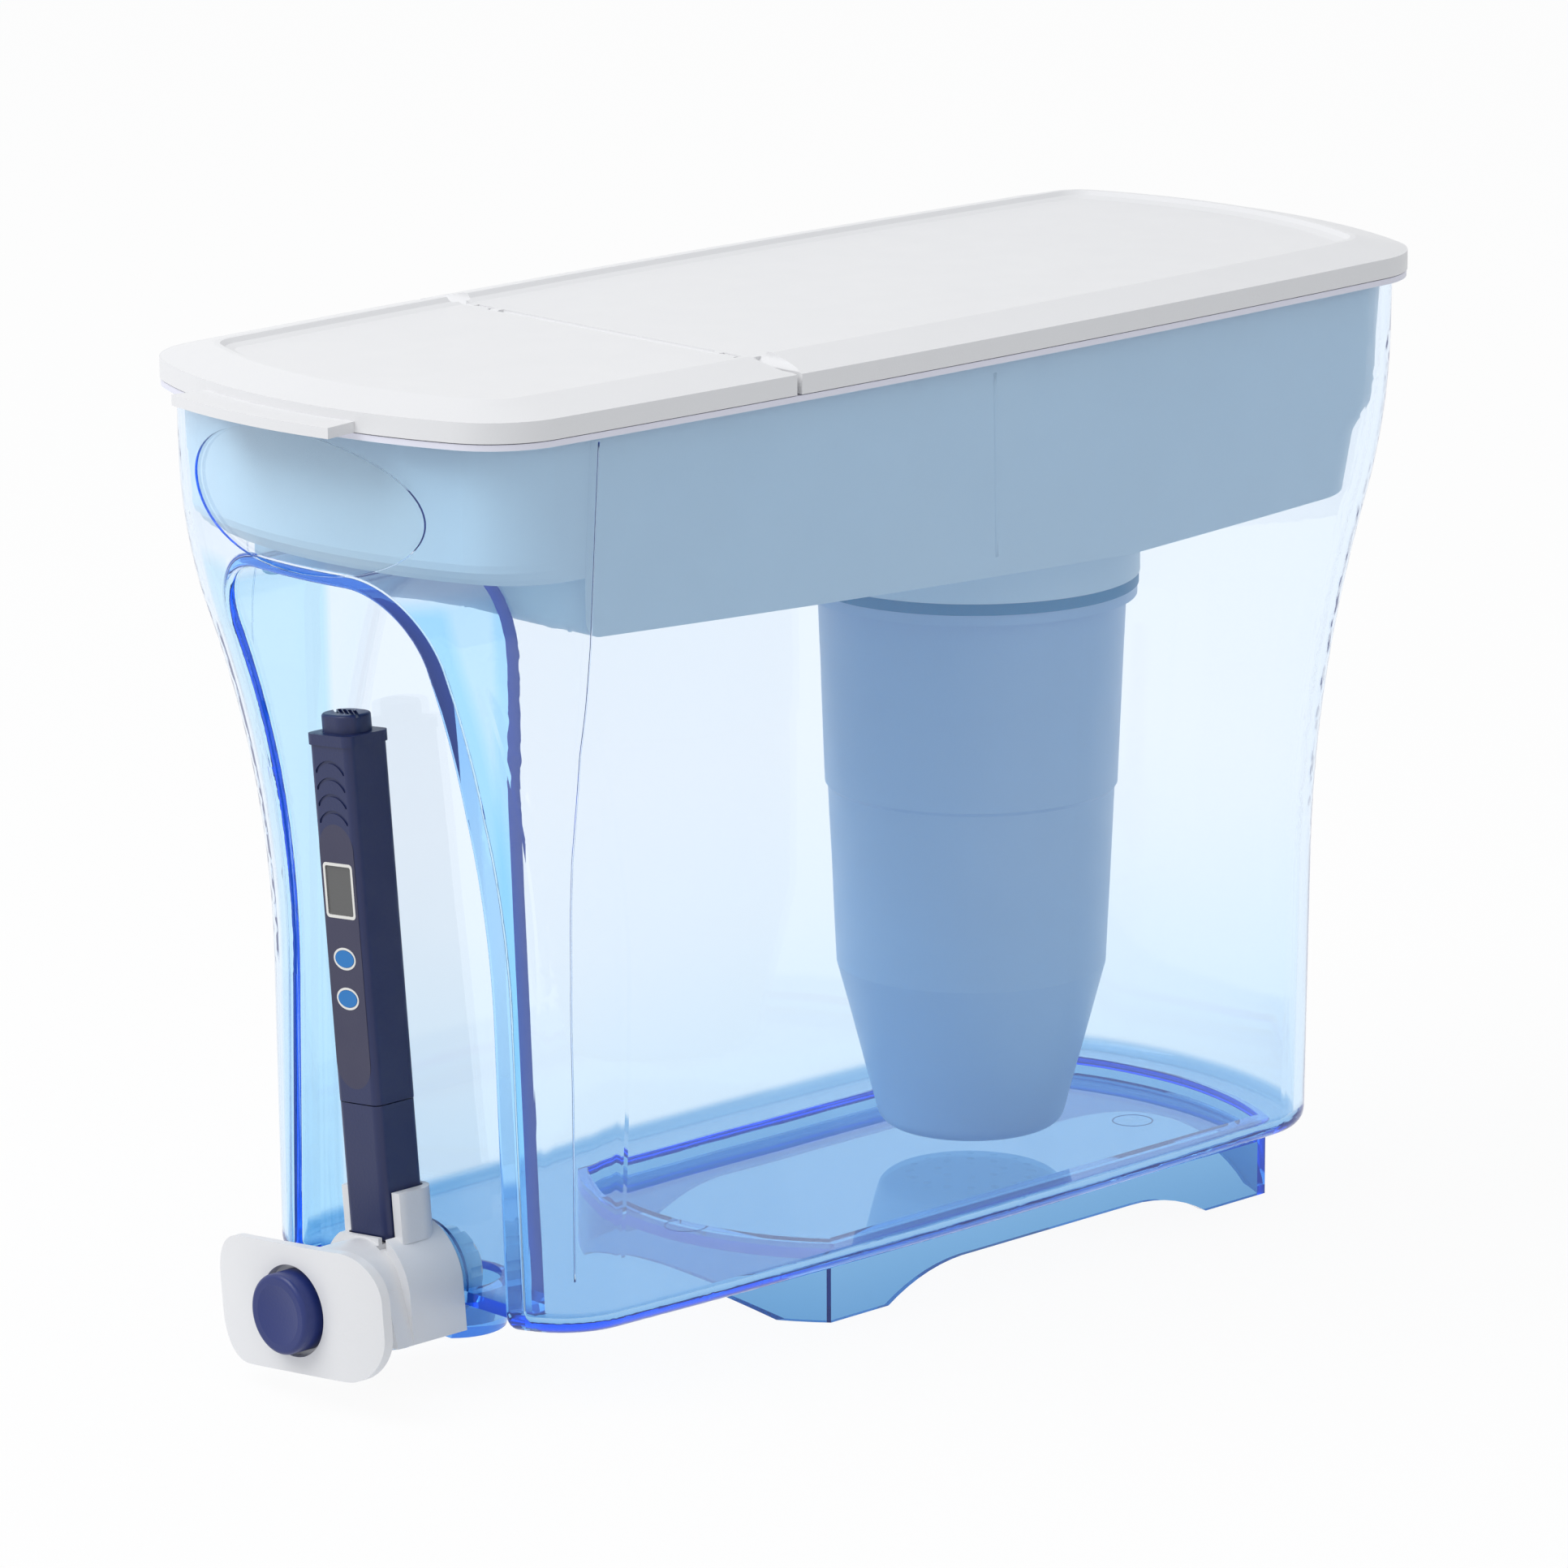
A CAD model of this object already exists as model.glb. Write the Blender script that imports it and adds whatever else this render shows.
import math

import bmesh
import bpy
from mathutils import Matrix, Vector


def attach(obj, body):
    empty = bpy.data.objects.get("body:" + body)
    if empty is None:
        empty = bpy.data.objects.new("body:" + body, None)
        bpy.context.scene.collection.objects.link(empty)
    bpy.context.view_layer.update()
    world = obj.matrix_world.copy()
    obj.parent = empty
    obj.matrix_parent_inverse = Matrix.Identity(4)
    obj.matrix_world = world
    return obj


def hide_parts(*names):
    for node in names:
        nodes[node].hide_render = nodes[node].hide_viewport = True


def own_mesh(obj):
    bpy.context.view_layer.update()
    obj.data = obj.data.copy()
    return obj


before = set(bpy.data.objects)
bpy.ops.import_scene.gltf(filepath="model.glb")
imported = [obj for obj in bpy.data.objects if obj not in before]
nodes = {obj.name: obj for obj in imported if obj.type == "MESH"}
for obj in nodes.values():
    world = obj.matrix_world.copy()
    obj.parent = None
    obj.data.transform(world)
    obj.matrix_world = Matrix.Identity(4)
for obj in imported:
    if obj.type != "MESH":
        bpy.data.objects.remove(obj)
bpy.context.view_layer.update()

# ---------------------------------------------------------------- tank
# One thick injection-moulded shell of clear blue styrene-acrylonitrile with a polished surface. The dye shows
# mostly along edges and corners, where light runs a long way inside the wall.


def new_material(name):
    """A material with an empty node tree and its output node."""
    material = bpy.data.materials.new(name)
    material.use_nodes = True
    tree = material.node_tree
    tree.nodes.clear()
    return material, tree, tree.nodes.new("ShaderNodeOutputMaterial")


def give(tree, socket, value):
    """Feeds a socket with another node's output, a colour of three shares or a number."""
    if isinstance(value, bpy.types.NodeSocket):
        tree.links.new(value, socket)
    elif isinstance(value, tuple):
        socket.default_value = (*value, 1)
    else:
        socket.default_value = value


def calculate(tree, operation, one, two=0.0):
    """A number worked out from one and two."""
    node = tree.nodes.new("ShaderNodeMath")
    node.operation = operation
    give(tree, node.inputs[0], one)
    give(tree, node.inputs[1], two)
    return node.outputs["Value"]


def place_on_piece(tree):
    """The place on a piece in metres, as x, y and z."""
    coordinates = tree.nodes.new("ShaderNodeTexCoord")
    axes = tree.nodes.new("ShaderNodeSeparateXYZ")
    tree.links.new(coordinates.outputs["Object"], axes.inputs["Vector"])
    return axes.outputs["X"], axes.outputs["Y"], axes.outputs["Z"]


def noise(tree, scale, detail=2.0, stretch=(1, 1, 1)):
    """Soft uneven patches from 0 to 1; scale is in patches per metre."""
    coordinates = tree.nodes.new("ShaderNodeTexCoord")
    mapping = tree.nodes.new("ShaderNodeMapping")
    mapping.inputs["Scale"].default_value = stretch
    pattern = tree.nodes.new("ShaderNodeTexNoise")
    pattern.inputs["Scale"].default_value = scale
    pattern.inputs["Detail"].default_value = detail
    tree.links.new(coordinates.outputs["Object"], mapping.inputs["Vector"])
    tree.links.new(mapping.outputs["Vector"], pattern.inputs["Vector"])
    return pattern.outputs["Fac"]


def in_range(tree, value, from_low, from_high, to_low=0.0, to_high=1.0):
    """Carries a value from one range into another and holds it at both ends."""
    node = tree.nodes.new("ShaderNodeMapRange")
    node.inputs["From Min"].default_value = from_low
    node.inputs["From Max"].default_value = from_high
    node.inputs["To Min"].default_value = to_low
    node.inputs["To Max"].default_value = to_high
    tree.links.new(value, node.inputs["Value"])
    return node.outputs["Result"]


def uneven(tree, pattern, middle, swing):
    """A value that varies with the pattern by the share swing on both sides of middle."""
    pattern_low, pattern_high = 0.3, 0.7
    return in_range(tree, pattern, pattern_low, pattern_high, middle * (1 - swing), middle * (1 + swing))


def bump(tree, height, strength, distance):
    """Bump from a height value."""
    node = tree.nodes.new("ShaderNodeBump")
    node.inputs["Strength"].default_value = strength
    node.inputs["Distance"].default_value = distance
    tree.links.new(height, node.inputs["Height"])
    return node.outputs["Normal"]


def mix_colours(tree, blend, share, one, two):
    """The colours one and two, mixed or multiplied by share."""
    node = tree.nodes.new("ShaderNodeMix")
    node.data_type = "RGBA"
    node.blend_type = blend
    give(tree, node.inputs["Factor"], share)
    give(tree, node.inputs["A"], one)
    give(tree, node.inputs["B"], two)
    return node.outputs["Result"]


def mix_finishes(tree, share, one, two):
    """Finish one where share is 0 and finish two where it is 1."""
    node = tree.nodes.new("ShaderNodeMixShader")
    tree.links.new(share, node.inputs["Fac"])
    tree.links.new(one, node.inputs[1])
    tree.links.new(two, node.inputs[2])
    return node.outputs["Shader"]


def by_height(tree, top, stops):
    """Colour that changes with the height on a piece; stops are (height in metres, colour) up to top."""
    _, _, height = place_on_piece(tree)
    ramp = tree.nodes.new("ShaderNodeValToRGB")
    while len(ramp.color_ramp.elements) < len(stops):
        ramp.color_ramp.elements.new(0.5)
    for element, (stop, colour) in zip(ramp.color_ramp.elements, stops):
        element.position = stop / top
        element.color = (*colour, 1)
    tree.links.new(calculate(tree, "DIVIDE", height, top), ramp.inputs["Fac"])
    return ramp.outputs["Color"]


def between(tree, value, low, high, edge):
    """1 where value lies between low and high, falling to 0 over edge on both sides."""
    above = in_range(tree, value, low - edge, low)
    below = in_range(tree, value, high + edge, high)
    return calculate(tree, "MULTIPLY", above, below)


# where the niche's two side walls are, and how softly their tint ends
niche_wall = (0.0325, 0.0455)
niche_wall_edge = 0.002
niche_depth = (-0.20, -0.132)
niche_height = (0.0, 0.212)
niche_edge = 0.006
niche_tint = (0.70, 0.91, 1.0)


def niche_share(tree):
    """1 on the two side walls of the niche, where the flow of the melt leaves the dye densest, and 0 elsewhere."""
    x, y, z = place_on_piece(tree)
    wall = between(tree, calculate(tree, "ABSOLUTE", x), *niche_wall, niche_wall_edge)
    deep = between(tree, y, *niche_depth, niche_edge)
    high = between(tree, z, *niche_height, niche_edge)
    return calculate(tree, "MULTIPLY", calculate(tree, "MULTIPLY", wall, deep), high)


def clear_plastic(name, dye, density, glow, roughness, lamp_tint, stops=()):
    """Clear dyed plastic: the dye is in the volume, lamps shine through it and long ways inside it glow blue."""
    refraction = 1.5
    gloss_patches, gloss_swing = 60, 0.4
    wave_patches, wave_strength, wave_height = 22, 0.12, 0.001
    glow_blue = (0.06, 0.20, 1.0)
    material, tree, output = new_material(name)
    shader = tree.nodes.new("ShaderNodeBsdfPrincipled")
    shader.inputs["Base Color"].default_value = (1, 1, 1, 1)
    if stops:
        tinted = mix_colours(tree, "MULTIPLY", niche_share(tree), by_height(tree, rim_height, stops), niche_tint)
        tree.links.new(tinted, shader.inputs["Base Color"])
    shader.inputs["Transmission Weight"].default_value = 1
    shader.inputs["IOR"].default_value = refraction
    gloss = uneven(tree, noise(tree, gloss_patches), roughness, gloss_swing)
    waves = bump(tree, noise(tree, wave_patches, detail=1.0), wave_strength, wave_height)
    tree.links.new(gloss, shader.inputs["Roughness"])
    tree.links.new(waves, shader.inputs["Normal"])
    through = tree.nodes.new("ShaderNodeBsdfTransparent")
    through.inputs["Color"].default_value = (*lamp_tint, 1)
    path = tree.nodes.new("ShaderNodeLightPath")
    surface = mix_finishes(tree, path.outputs["Is Shadow Ray"], shader.outputs["BSDF"], through.outputs["BSDF"])
    tree.links.new(surface, output.inputs["Surface"])
    taken = tree.nodes.new("ShaderNodeVolumeAbsorption")
    taken.inputs["Color"].default_value = (*dye, 1)
    taken.inputs["Density"].default_value = density
    given = tree.nodes.new("ShaderNodeEmission")
    given.inputs["Color"].default_value = (*glow_blue, 1)
    given.inputs["Strength"].default_value = glow
    volume = tree.nodes.new("ShaderNodeAddShader")
    tree.links.new(taken.outputs["Volume"], volume.inputs[0])
    tree.links.new(given.outputs["Emission"], volume.inputs[1])
    tree.links.new(volume.outputs["Shader"], output.inputs["Volume"])
    return material


def dress(material, *names, flats=True):
    """Gives CAD nodes a finish and soft shading on curves; with flats, their flat faces are shaded evenly too."""
    sharp_edge = math.radians(38)
    for name in names:
        piece = nodes[name]
        piece.data.materials.clear()
        piece.data.materials.append(material)
        piece.data.shade_smooth()
        if flats:
            piece.data.set_sharp_from_angle(angle=sharp_edge)
            piece.modifiers.new("flat_faces", "WEIGHTED_NORMAL").keep_sharp = True


rim_height = 0.2574
# the skirt and the floor are the deepest blue, and the walls above them are nearly clear
dye_stops = (
    (0.0, (0.14, 0.36, 0.64)),
    (0.0235, (0.22, 0.47, 0.74)),
    (0.0262, (0.86, 0.95, 1.0)),
    (0.08, (0.95, 0.985, 1.0)),
    (0.12, (1.0, 1.0, 1.0)),
)
tank_plastic = clear_plastic(
    "tank_plastic",
    dye=(0.10, 0.65, 0.98),
    density=27,
    glow=8.5,
    roughness=0.012,
    lamp_tint=(0.94, 0.97, 1.0),
    stops=dye_stops,
)
dress(tank_plastic, "tank", flats=False)


def on_surface(name, starts, direction):
    """Where lines from starts in one direction first meet a CAD node, each with the surface's own direction."""
    piece = nodes[name]
    back = piece.matrix_world.inverted()
    found = []
    for start in starts:
        hit, point, normal, _ = piece.ray_cast(back @ Vector(start), back.to_3x3() @ Vector(direction))
        if hit:
            found.append((piece.matrix_world @ point, (piece.matrix_world.to_3x3() @ normal).normalized()))
    return found


def ringed_piece(name, sections, material, closed=False):
    """A smooth solid through sections, each a ring of points; closed joins the last section to the first."""
    form = bmesh.new()
    rings = [[form.verts.new(point) for point in section] for section in sections]
    for one, two in zip(rings, rings[1:] + rings[:1] if closed else rings[1:]):
        for j in range(len(one)):
            k = (j + 1) % len(one)
            form.faces.new((one[j], one[k], two[k], two[j]))
    if not closed:
        form.faces.new(rings[0])
        form.faces.new(rings[-1])
    bmesh.ops.recalc_face_normals(form, faces=form.faces)
    mesh = bpy.data.meshes.new(name)
    form.to_mesh(mesh)
    form.free()
    mesh.shade_smooth()
    mesh.materials.append(material)
    piece = bpy.data.objects.new(name, mesh)
    bpy.context.scene.collection.objects.link(piece)
    return piece


# half-round section of a bead as shares of its width and height, with its foot sunk into the surface
bead_section = ((-0.5, -1.0), (-0.42, 0.45), (-0.2, 0.9), (0.0, 1.0), (0.2, 0.9), (0.42, 0.45), (0.5, -1.0))


def low_bead(name, found, width, height, material, closed=False):
    """A low half-round line of plastic along a surface; found holds its points and their normals."""
    sections = []
    count = len(found)
    for i, (point, normal) in enumerate(found):
        after = found[(i + 1) % count if closed else min(i + 1, count - 1)][0]
        before = found[(i - 1) % count if closed else max(i - 1, 0)][0]
        side = (after - before).cross(normal).normalized()
        sections.append([point + side * (width * a) + normal * (height * b) for a, b in bead_section])
    return ringed_piece(name, sections, material, closed)


def depth_at(line, height):
    """How far back line lies at a height; line is a list of (height, depth) from the bottom up."""
    for (low, at_low), (high, at_high) in zip(line, line[1:]):
        if height <= high:
            return at_low + (at_high - at_low) * (height - low) / (high - low)
    return line[-1][1]


# the lines below lie on the tank's own surface, so the CAD nodes have to be in place
bpy.context.view_layer.update()
# the mould's parting line runs down both sides, near the front
crease_line = (
    (0.035, -0.1329),
    (0.085, -0.1334),
    (0.117, -0.1341),
    (0.148, -0.1356),
    (0.176, -0.1360),
    (0.204, -0.1339),
    (0.256, -0.1321),
)
crease_step = 0.0026
crease_points = 86
beside_tank = 0.12
for side, label in ((-1, "left"), (1, "right")):
    heights = [crease_line[0][0] + crease_step * step for step in range(crease_points)]
    starts = [(side * beside_tank, depth_at(crease_line, height), height) for height in heights]
    found = on_surface("tank", starts, (-side, 0, 0))
    crease = low_bead("tank_crease_" + label, found, width=0.0005, height=0.00012, material=tank_plastic)
    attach(crease, "tank")
# two ejector pins have left round marks in the floor
pin_mark_radius = 0.0056
pin_mark_points = 36
over_floor = 0.06
for label, x, y in (("front", 0.011, -0.0514), ("rear", 0.014, 0.1177)):
    turns = [2 * math.pi * step / pin_mark_points for step in range(pin_mark_points)]
    starts = [(x + pin_mark_radius * math.cos(a), y + pin_mark_radius * math.sin(a), over_floor) for a in turns]
    found = on_surface("tank", starts, (0, 0, -1))
    pin_mark = low_bead(
        "tank_pin_mark_" + label, found, width=0.0004, height=0.0001, material=tank_plastic, closed=True
    )
    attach(pin_mark, "tank")

# ---------------------------------------------------------------- reservoir
# A thin white polypropylene basin, moulded with a satin face. It hangs by its flange in the tank's mouth, and the
# cartridge screws into the collar under it.


def opaque_plastic(name, colour, roughness, grain=0.15, grain_scale=1400, mottle=0.03, stops=()):
    """Moulded opaque plastic: faint mottle in the colour, uneven gloss and the fine grain of the mould."""
    mottle_patches, gloss_patches, patch_detail = 35, 90, 3.0
    gloss_swing = 0.1
    grain_height = 0.0002
    material, tree, output = new_material(name)
    shader = tree.nodes.new("ShaderNodeBsdfPrincipled")
    darker = tuple(c * (1 - mottle) for c in colour)
    paler = tuple(min(1.0, c * (1 + mottle)) for c in colour)
    tinted = mix_colours(tree, "MIX", noise(tree, mottle_patches, patch_detail), darker, paler)
    if stops:
        over_rim = rim_height * 1.1
        tinted = mix_colours(tree, "MULTIPLY", 1.0, tinted, by_height(tree, over_rim, stops))
    gloss = uneven(tree, noise(tree, gloss_patches, patch_detail), roughness, gloss_swing)
    tree.links.new(tinted, shader.inputs["Base Color"])
    tree.links.new(gloss, shader.inputs["Roughness"])
    tree.links.new(bump(tree, noise(tree, grain_scale), grain, grain_height), shader.inputs["Normal"])
    tree.links.new(shader.outputs["BSDF"], output.inputs["Surface"])
    return material


# the basin below the flange takes on the blue of the tank that it stands in
basin_blue = (0.72, 0.98, 1.0)
flange_white = (1.0, 1.0, 1.0)
flange_underside = rim_height - 0.0004
reservoir_stops = ((0.0, basin_blue), (flange_underside, basin_blue), (rim_height, flange_white))
reservoir_satin = opaque_plastic(
    "reservoir_satin", (0.79, 0.79, 0.89), roughness=0.42, grain=0.05, stops=reservoir_stops
)
dress(reservoir_satin, "reservoir")
# a stiffening line down the middle of both sides, leaning back a little towards its foot
rib_top = (0.0675, 0.0078, 0.254)
rib_back_step = 0.0002
rib_down_step = 0.0045
rib_points = 12
for side, label in ((-1, "left"), (1, "right")):
    starts = [
        (side * rib_top[0], rib_top[1] + rib_back_step * step, rib_top[2] - rib_down_step * step)
        for step in range(rib_points)
    ]
    found = on_surface("reservoir", starts, (-side, 0, 0))
    rib = low_bead("reservoir_rib_" + label, found, width=0.0012, height=0.0002, material=reservoir_satin)
    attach(rib, "reservoir")

# ---------------------------------------------------------------- filter cartridge
# A turned-looking polypropylene cup with a step half-way and a cone below, closed by a slotted cap. A soft
# teal gasket sits in the groove below its thread, and foam, carbon, resin and a pad fill it.

cartridge_blue = opaque_plastic("cartridge_blue", (0.33, 0.56, 0.80), roughness=0.38)
gasket_teal = opaque_plastic("gasket_teal", (0.0, 0.24, 0.46), roughness=0.5)
pad_fibre = opaque_plastic("pad_fibre", (0.80, 0.80, 0.76), roughness=0.9, grain=0.6, grain_scale=600)
resin_beads = opaque_plastic("resin_beads", (0.45, 0.26, 0.08), roughness=0.5, grain=0.8, grain_scale=900)
carbon_grains = opaque_plastic("carbon_grains", (0.02, 0.02, 0.02), roughness=0.7, grain=0.8, grain_scale=700)
dress(cartridge_blue, "filter_shell", "filter_inlet_cap")
dress(gasket_teal, "filter_gasket")
dress(pad_fibre, "filter_outlet_pad", "filter_foam")
dress(resin_beads, "filter_resin")
dress(carbon_grains, "filter_carbon")

# ---------------------------------------------------------------- lid
# Two white ABS covers, moulded with a raised bevelled rim round a sunken panel. The rear one drops on to the
# reservoir's flange, and the front one swings up on two steel pins.

lid_white = opaque_plastic(
    "lid_white", (0.80, 0.80, 0.81), roughness=0.40, grain=0.2, grain_scale=1800, mottle=0.01
)
dress(lid_white, "lid_rear", "lid_flap")
# a thin strip on the rear lid, low in the gap across the panel between the hinges
strip_half_length = 0.040
strip_depth = -0.06685
strip_height = 0.2646
strip_line = [
    (Vector((strip_half_length * share, strip_depth, strip_height)), Vector((0, 0, 1)))
    for share in (-1, -0.5, 0, 0.5, 1)
]
gap_strip = low_bead("lid_gap_strip", strip_line, width=0.00057, height=0.0004, material=lid_white)
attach(gap_strip, "lid_rear")


def metal(name, colour, roughness):
    """Drawn or turned metal with fine lines."""
    line_patches, line_stretch = 900, (1, 0.05, 1)
    gloss_swing = 0.3
    line_strength, line_height = 0.1, 0.0001
    material, tree, output = new_material(name)
    shader = tree.nodes.new("ShaderNodeBsdfPrincipled")
    shader.inputs["Base Color"].default_value = (*colour, 1)
    shader.inputs["Metallic"].default_value = 1
    lines = noise(tree, line_patches, stretch=line_stretch)
    tree.links.new(uneven(tree, lines, roughness, gloss_swing), shader.inputs["Roughness"])
    tree.links.new(bump(tree, lines, line_strength, line_height), shader.inputs["Normal"])
    tree.links.new(shader.outputs["BSDF"], output.inputs["Surface"])
    return material


steel = metal("spring_steel", (0.62, 0.63, 0.65), roughness=0.25)
dress(steel, "hinge_pin_left", "hinge_pin_right")

# ---------------------------------------------------------------- tap
# A white acetal body with a wing plate for two fingers and a navy push button. A threaded shank goes through the
# tank's wall to a nut, between two soft washers, and a clear blue tip carries the water down.

tap_white = opaque_plastic(
    "tap_white", (0.80, 0.80, 0.81), roughness=0.32, grain=0.12, grain_scale=1500, mottle=0.01
)
button_navy = opaque_plastic(
    "button_navy", (0.010, 0.024, 0.155), roughness=0.36, grain=0.15, grain_scale=1500, mottle=0.06
)
seal_silicone = opaque_plastic("seal_silicone", (0.5, 0.52, 0.54), roughness=0.5)
washer_silicone = opaque_plastic("washer_silicone", (0.45, 0.50, 0.56), roughness=0.5)
nut_blue = opaque_plastic("nut_blue", (0.42, 0.72, 0.95), roughness=0.3)
spout_plastic = clear_plastic(
    "spout_plastic", dye=(0.10, 0.62, 0.985), density=120, glow=6.0, roughness=0.03, lamp_tint=(0.8, 0.9, 1.0)
)
dress(tap_white, "tap_body", "tap_wing_plate", "tap_stem", "meter_holder")
dress(button_navy, "tap_button")
dress(seal_silicone, "tap_valve_seal", "tap_stem_seal")
dress(washer_silicone, "tap_washer_outer", "tap_washer_inner")
dress(nut_blue, "tap_nut")
dress(spout_plastic, "tap_spout")

# ---------------------------------------------------------------- tap spring
# A return spring wound from thin steel wire round the valve's stem. It stands between the button and the body and
# gives way as the button goes in.

spring_radius = 0.0064
wire_radius = 0.00045
wire_corners = 10
spring_turns = 5
steps_per_turn = 40
spring_box = [nodes["tap_spring"].matrix_world @ Vector(corner) for corner in nodes["tap_spring"].bound_box]
spring_front = min(corner.y for corner in spring_box)
spring_rear = max(corner.y for corner in spring_box)
spring_middle = sum(corner.z for corner in spring_box) / len(spring_box)
spring_length = spring_rear - spring_front
wire_angles = [2 * math.pi * corner / wire_corners for corner in range(wire_corners)]
wire_sections = []
for step in range(spring_turns * steps_per_turn + 1):
    turn = 2 * math.pi * step / steps_per_turn
    share = step / (spring_turns * steps_per_turn)
    outward = Vector((math.cos(turn), 0, math.sin(turn)))
    middle = outward * spring_radius + Vector((0, 0, spring_middle))
    middle.y = spring_front + wire_radius + share * (spring_length - 2 * wire_radius)
    wire_sections.append(
        [
            middle + outward * (wire_radius * math.cos(a)) + Vector((0, wire_radius * math.sin(a), 0))
            for a in wire_angles
        ]
    )
spring = ringed_piece("tap_spring_wire", wire_sections, steel)
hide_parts("tap_spring")
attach(spring, "tank")
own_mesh(spring)

# ---------------------------------------------------------------- meter
# A pen meter for dissolved solids that stands in the tap's cup: a navy ABS case with a push-on probe cap and
# battery cap, and a dark bare label round a small display and two keys.

case_navy = opaque_plastic(
    "case_navy", (0.011, 0.020, 0.090), roughness=0.38, grain=0.2, grain_scale=1300, mottle=0.06
)
label_film = opaque_plastic("label_film", (0.034, 0.034, 0.078), roughness=0.5)
trim_silver = metal("trim_silver", (0.78, 0.78, 0.76), roughness=0.3)
display_grey = opaque_plastic("display_grey", (0.10, 0.10, 0.10), roughness=0.18)
key_cyan = opaque_plastic("key_cyan", (0.0, 0.17, 0.50), roughness=0.32)
board_green = opaque_plastic("board_green", (0.01, 0.10, 0.03), roughness=0.4)
dress(case_navy, "meter_body", "meter_probe_cap", "meter_battery_cap")
dress(label_film, "meter_label")
dress(trim_silver, "meter_screen_frame", "meter_ring_upper", "meter_ring_lower")
dress(display_grey, "meter_screen")
dress(key_cyan, "meter_key_upper", "meter_key_lower")
dress(board_green, "meter_board")
dress(steel, "meter_cell_front", "meter_cell_rear", "meter_pin_left", "meter_pin_right")

# ---------------------------------------------------------------- ground and studio
# A white sheet that runs out in all directions below the filter, in an even white room, with one broad soft lamp
# at the front left.

sheet_reach = 6.0
sheet_height = -0.0004
ground_mesh = bpy.data.meshes.new("ground")
sheet_corners = [
    (x * sheet_reach, y * sheet_reach, sheet_height) for x, y in ((-1, -1), (1, -1), (1, 1), (-1, 1))
]
ground_mesh.from_pydata(sheet_corners, [], [(0, 1, 2, 3)])
ground = bpy.data.objects.new("ground", ground_mesh)
bpy.context.scene.collection.objects.link(ground)


def seen_directly(tree):
    """1 for rays that come from the camera, a mirror or glass, and 0 for those that light a surface."""
    path = tree.nodes.new("ShaderNodeLightPath")
    seen = calculate(tree, "MAXIMUM", path.outputs["Is Camera Ray"], path.outputs["Is Glossy Ray"])
    return calculate(tree, "MAXIMUM", seen, path.outputs["Is Transmission Ray"])


# most of the sheet's brightness is its own, and the rest shows the filter's soft shadow
own_brightness = 0.94
ground_white, tree, output = new_material("ground_white")
paper = tree.nodes.new("ShaderNodeBsdfDiffuse")
paper.inputs["Color"].default_value = (0.9, 0.9, 0.9, 1)
glow = tree.nodes.new("ShaderNodeEmission")
glow.inputs["Color"].default_value = (1, 1, 1, 1)
glow.inputs["Strength"].default_value = 1.0
share = calculate(tree, "MULTIPLY", seen_directly(tree), own_brightness)
sheet = mix_finishes(tree, share, paper.outputs["BSDF"], glow.outputs["Emission"])
tree.links.new(sheet, output.inputs["Surface"])
ground_mesh.materials.append(ground_white)

world = bpy.data.worlds.new("studio")
bpy.context.scene.world = world
world.use_nodes = True
tree = world.node_tree
tree.nodes.clear()
output = tree.nodes.new("ShaderNodeOutputWorld")
room = tree.nodes.new("ShaderNodeBackground")
room.inputs["Color"].default_value = (0.95, 0.97, 1.0, 1)
room.inputs["Strength"].default_value = 0.62
white = tree.nodes.new("ShaderNodeBackground")
white.inputs["Color"].default_value = (1, 1, 1, 1)
white.inputs["Strength"].default_value = 1.0
studio = mix_finishes(tree, seen_directly(tree), room.outputs["Background"], white.outputs["Background"])
tree.links.new(studio, output.inputs["Surface"])

lamp_place = Vector((-0.6, -1.4, 2.0))
lamp_target = Vector((0, 0, 0.12))
lamp = bpy.data.lights.new("lamp_front_left", "AREA")
lamp.size = 1.7
lamp.energy = 31
lamp_holder = bpy.data.objects.new("lamp_front_left", lamp)
lamp_holder.location = lamp_place
lamp_holder.rotation_euler = (lamp_target - lamp_place).to_track_quat("-Z", "Y").to_euler()
bpy.context.scene.collection.objects.link(lamp_holder)

# ---------------------------------------------------------------- camera
# A long lens at the front right, a little above the filter, turned by a fifth of a degree. It looks past the
# filter's middle by the small amounts below.

azimuth, elevation, roll = (math.radians(a) for a in (45.968, 13.979, -0.215))
distance = 2.26591
shift_left = 0.005602
shift_up = 0.003655
looked_at = Vector((0, 0.00515, 0.12835))
camera_data = bpy.data.cameras.new("camera")
camera_data.sensor_width = 36
camera_data.lens = 193.26
camera_data.clip_end = 50
camera = bpy.data.objects.new("camera", camera_data)
bpy.context.scene.collection.objects.link(camera)
back = Vector(
    (math.sin(azimuth) * math.cos(elevation), -math.cos(azimuth) * math.cos(elevation), math.sin(elevation))
)
level_right = Vector((math.cos(azimuth), math.sin(azimuth), 0))
level_up = back.cross(level_right)
right = level_right * math.cos(roll) + level_up * math.sin(roll)
up = level_up * math.cos(roll) - level_right * math.sin(roll)
place = back * distance - right * shift_left + up * shift_up + looked_at
camera.matrix_world = Matrix([(right[i], up[i], back[i], place[i]) for i in range(3)] + [(0, 0, 0, 1)])
bpy.context.scene.camera = camera
bpy.context.scene.view_settings.view_transform = "Standard"
